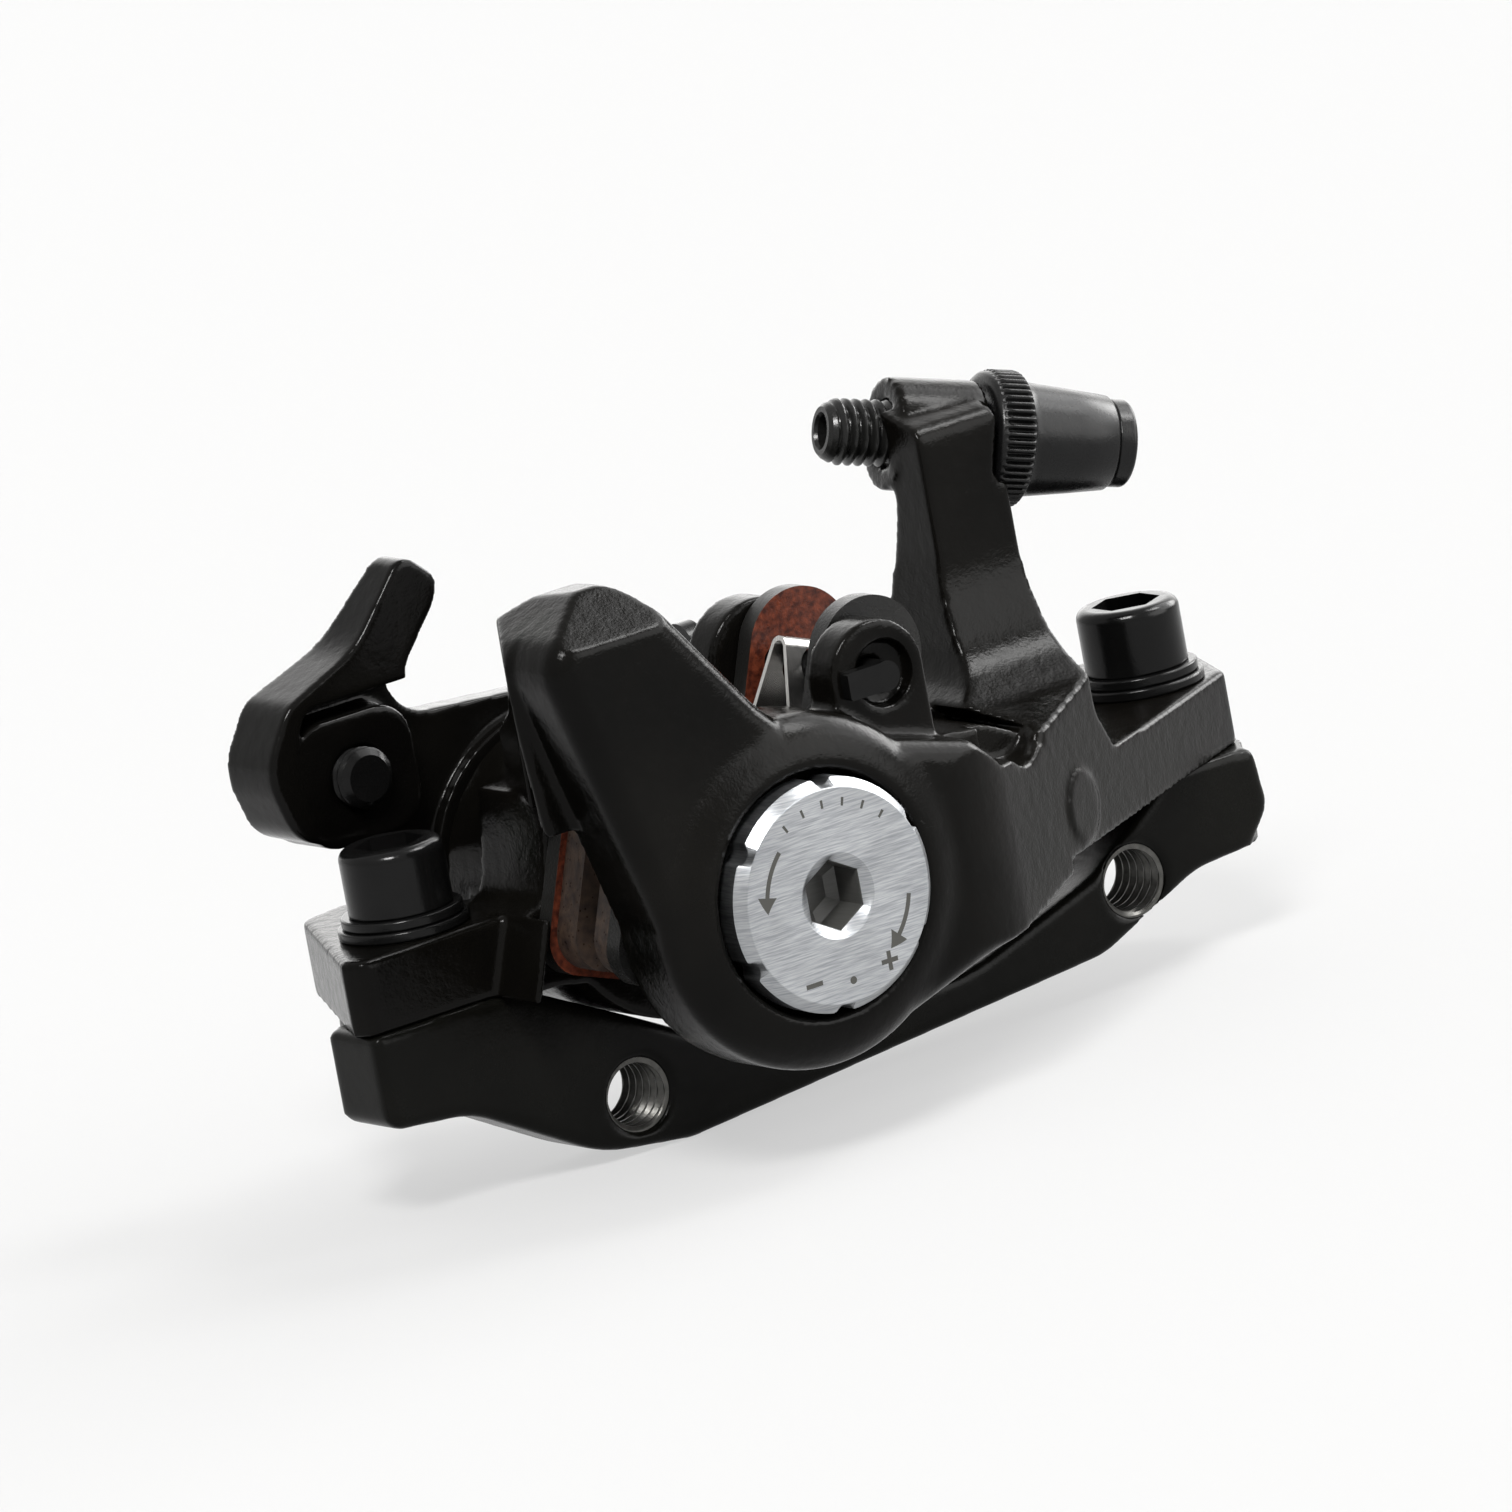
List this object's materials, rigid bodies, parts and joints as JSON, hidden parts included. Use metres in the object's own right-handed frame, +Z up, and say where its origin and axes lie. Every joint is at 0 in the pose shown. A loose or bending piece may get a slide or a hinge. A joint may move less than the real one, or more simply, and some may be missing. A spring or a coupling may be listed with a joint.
{
  "type": "mechanical disc brake caliper",
  "caption": "Cable-operated disc brake caliper on its adapter bracket: lever, pad adjuster, barrel adjuster and pads in a rotor slot.",
  "frame": {"origin": "midway between the two threaded mounting holes, on the bracket's mating face", "axes": "+X along the two fixing bolts to the right seen from the wheel, +Y away from the wheel, +Z up along the fixing bolts"},
  "size_m": [0.0918, 0.0487, 0.0549],
  "materials": {
    "body_paint": "gloss black paint on a forging",
    "bracket_paint": "satin black paint",
    "lever_paint": "gloss black paint on a forging",
    "black_steel": "black oxide steel",
    "silver_disc": "turned aluminium",
    "spring_steel": "bright strip",
    "pad_steel": "dark painted steel",
    "friction": "red-brown friction compound",
    "seal_rubber": "matte rubber",
    "bush_plastic": "matte bearing plastic",
    "steel": "machined steel",
    "black_anodised": "black anodised"
  },
  "bodies": {
    "frame_side": {"caliper_body": "body_paint", "adapter_bracket": "bracket_paint", "fixing_bolt_left": "black_steel", "fixing_bolt_right": "black_steel", "lower_washer_left": "black_steel", "lower_washer_right": "black_steel", "upper_washer_left": "black_steel", "upper_washer_right": "black_steel", "adjuster_seal": "seal_rubber", "pad_spring": "spring_steel", "retaining_pin": "black_steel", "thrust_washer": "steel", "shaft_bush": "bush_plastic", "dust_seal": "seal_rubber"},
    "lever": {"lever_arm": "lever_paint", "actuator_shaft": "steel", "lever_washer": "black_steel", "lever_bolt": "black_steel", "clamp_washer": "black_steel", "anchor_bolt": "black_steel", "return_spring": "spring_steel"},
    "ball_race": {"ramp_balls": "steel", "ball_cage": "bush_plastic"},
    "moving_pad": {"moving_pad_plate": "pad_steel", "moving_pad_friction": "friction", "pressure_foot": "steel"},
    "fixed_pad": {"fixed_pad_plate": "pad_steel", "fixed_pad_friction": "friction"},
    "adjuster": {"pad_adjuster": "silver_disc"},
    "ferrule": {"housing_ferrule": "black_steel"},
    "barrel": {"barrel_screw": "black_steel", "barrel_knob": "black_anodised"}
  },
  "joints": [
    {"name": "lever_pivot", "type": "hinge", "parent": "frame_side", "child": "lever", "pos_m": [-0.0198, 0.008, 0.0156], "axis": [0, 1, 0], "range_deg": [0, 30], "stiffness_Nm_per_rad": 0.05, "springref_deg": -20.05},
    {"name": "ball_race_turn", "type": "hinge", "parent": "frame_side", "child": "ball_race", "pos_m": [-0.0198, -0.0052, 0.0156], "axis": [0, 1, 0], "range_deg": [0, 15]},
    {"name": "moving_pad_slide", "type": "slide", "parent": "frame_side", "child": "moving_pad", "axis": [0, -1, 0], "range_m": [0, 0.0018], "deforming": ["pad_spring"]},
    {"name": "adjuster_turn", "type": "hinge", "parent": "fixed_pad", "child": "adjuster", "pos_m": [-0.0198, -0.03, 0.0156], "axis": [0, 1, 0], "range_deg": [-145, 199]},
    {"name": "fixed_pad_slide", "type": "slide", "parent": "frame_side", "child": "fixed_pad", "axis": [0, 1, 0], "range_m": [-0.0004, 0.00055]},
    {"name": "barrel_turn", "type": "hinge", "parent": "ferrule", "child": "barrel", "pos_m": [0.0059, -0.0025, 0.0451], "axis": [0.9327, -0.2369, -0.2719], "range_deg": [-109, 1621]},
    {"name": "barrel_travel", "type": "slide", "parent": "frame_side", "child": "ferrule", "axis": [0.9327, -0.2369, -0.2719], "range_m": [-0.0003, 0.0045]}
  ],
  "couplings": [
    {"joint": "ball_race_turn", "follows": "lever_pivot", "ratio": 0.5},
    {"joint": "moving_pad_slide", "follows": "lever_pivot", "m_per_rad": 0.0034},
    {"joint": "adjuster_turn", "follows": "fixed_pad_slide", "rad_per_m": 6283.2},
    {"joint": "barrel_turn", "follows": "barrel_travel", "rad_per_m": 6283.2}
  ]
}
